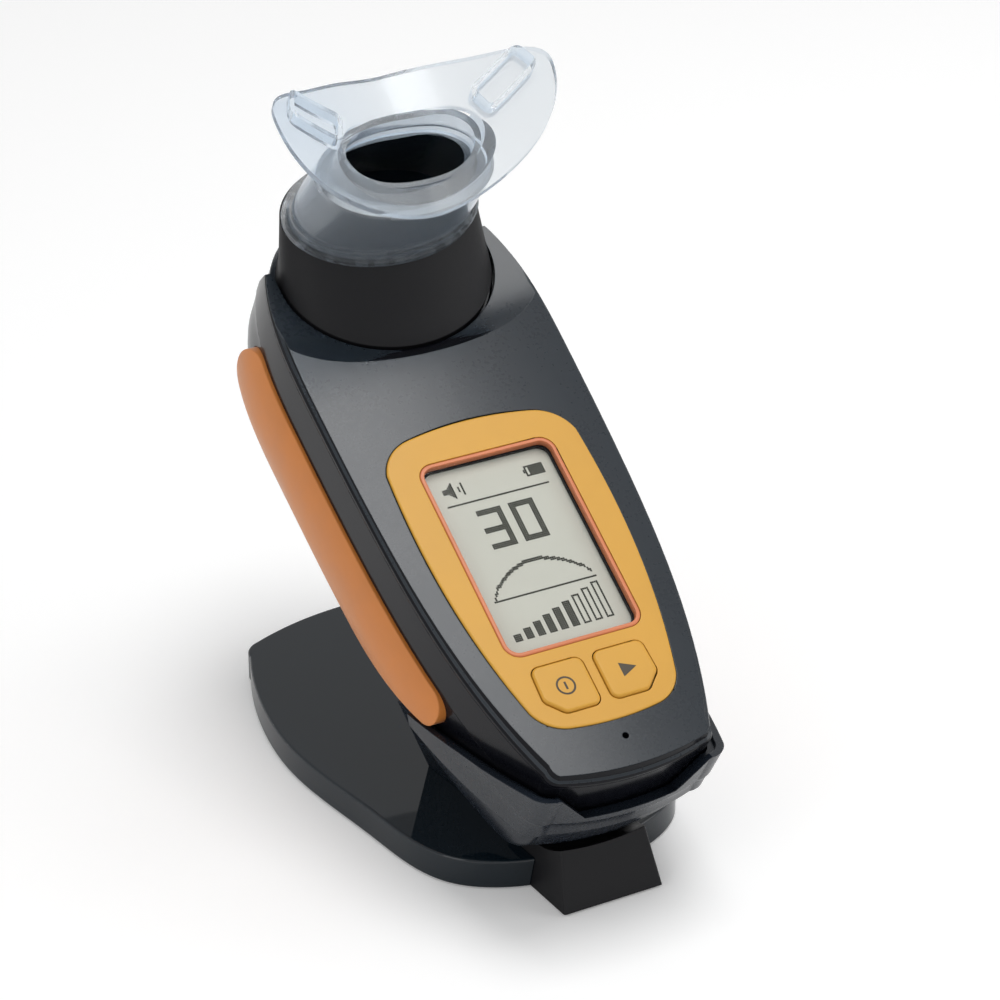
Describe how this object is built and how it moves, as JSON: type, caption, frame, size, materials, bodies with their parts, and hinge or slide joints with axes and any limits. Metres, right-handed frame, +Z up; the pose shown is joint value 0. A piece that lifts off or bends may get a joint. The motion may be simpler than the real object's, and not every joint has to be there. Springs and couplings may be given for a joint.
{
  "type": "inspiratory muscle trainer",
  "caption": "Hand-held electronic breathing muscle trainer with a clear mouthpiece, display, push buttons and valve head, standing in its charging cradle.",
  "frame": {"origin": "on the floor plane under the base plate, on the mirror plane", "axes": "+X to the handset's right as seen by the user, +Y away from the user, +Z up"},
  "size_m": [0.0876, 0.159, 0.1721],
  "materials": {
    "front_cover": "high gloss black with a blue-grey cast",
    "mid_frame": "high gloss black",
    "rear_cover": "gloss black",
    "grip": "satin orange soft-touch overmould",
    "bezel": "pearl yellow-orange paint under lacquer",
    "button": "pearl yellow-orange, printed symbol",
    "window_lip": "dark orange edge",
    "window": "clear window",
    "display": "grey-green liquid crystal panel",
    "board": "green solder mask",
    "component": "black moulded part",
    "battery": "wrapped cell",
    "steel": "zinc plated steel",
    "contact": "gold plated brass",
    "motor": "plain steel can",
    "coupling": "white acetal",
    "head": "gloss black with a satin spigot",
    "hood": "matte black",
    "grille": "matte black",
    "flap": "white moulded plastic",
    "silicone": "clear silicone with pale blue edges",
    "cradle": "satin-gloss black",
    "base": "mirror gloss black",
    "plate": "matte black",
    "ballast": "painted iron weight",
    "pad": "matte anti-slip rubber"
  },
  "bodies": {
    "stand": {"base_shell": "base", "base_plate": "plate", "ballast": "ballast", "anti_slip_pad": "pad", "base_screws": "steel", "foot_block": "cradle", "cradle": "cradle", "contact_block": "component", "charger_board": "board", "power_inlet": "component"},
    "handset": {"front_cover": "front_cover", "mid_frame": "mid_frame", "rear_cover": "rear_cover", "grip_left": "grip", "grip_right": "grip", "bezel": "bezel", "window_lip": "window_lip", "display_window": "window", "display_module": "display", "button_switches": "component", "main_board": "board", "battery": "battery", "sounder": "component", "case_screws": "steel", "charge_pads": "contact", "valve_motor": "motor"},
    "power_button": {"power_button": "button"},
    "play_button": {"play_button": "button"},
    "motor_drive": {"motor_coupling": "coupling"},
    "valve_head": {"valve_head_shell": "head", "hood": "hood", "inlet_grille": "grille"},
    "flap": {"flap_shaft": "steel", "valve_flap": "flap"},
    "mouthpiece": {"mouthpiece": "silicone"},
    "pin_left": {"contact_pin_left": "contact"},
    "pin_right": {"contact_pin_right": "contact"}
  },
  "joints": [
    {"name": "handset_lift", "type": "slide", "parent": "stand", "child": "handset", "axis": [0, 0.866, 0.5], "range_m": [0, 0.06]},
    {"name": "power_press", "type": "slide", "parent": "handset", "child": "power_button", "axis": [0, 0.5, -0.866], "range_m": [0, 0.0006], "stiffness_N_per_m": 1500, "springref_m": -0.0004},
    {"name": "play_press", "type": "slide", "parent": "handset", "child": "play_button", "axis": [0, 0.5, -0.866], "range_m": [0, 0.0006], "stiffness_N_per_m": 1500, "springref_m": -0.0004},
    {"name": "motor_turn", "type": "hinge", "parent": "handset", "child": "motor_drive", "pos_m": [0, 0.02523, 0.08811], "axis": [0, 0.866, 0.5], "range_deg": [0, 80]},
    {"name": "head_pull", "type": "slide", "parent": "handset", "child": "valve_head", "axis": [0, 0.866, 0.5], "range_m": [0, 0.05]},
    {"name": "flap_turn", "type": "hinge", "parent": "valve_head", "child": "flap", "pos_m": [0, 0.05294, 0.10411], "axis": [0, 0.866, 0.5], "range_deg": [0, 80]},
    {"name": "mouthpiece_pull", "type": "slide", "parent": "valve_head", "child": "mouthpiece", "axis": [0, -0.6601, 0.7511], "range_m": [0, 0.03]},
    {"name": "pin_left_press", "type": "slide", "parent": "stand", "child": "pin_left", "axis": [0, 0.5, -0.866], "range_m": [0, 0.001], "stiffness_N_per_m": 400, "springref_m": -0.0005},
    {"name": "pin_right_press", "type": "slide", "parent": "stand", "child": "pin_right", "axis": [0, 0.5, -0.866], "range_m": [0, 0.001], "stiffness_N_per_m": 400, "springref_m": -0.0005}
  ],
  "couplings": [
    {"joint": "flap_turn", "follows": "motor_turn", "ratio": 1}
  ]
}
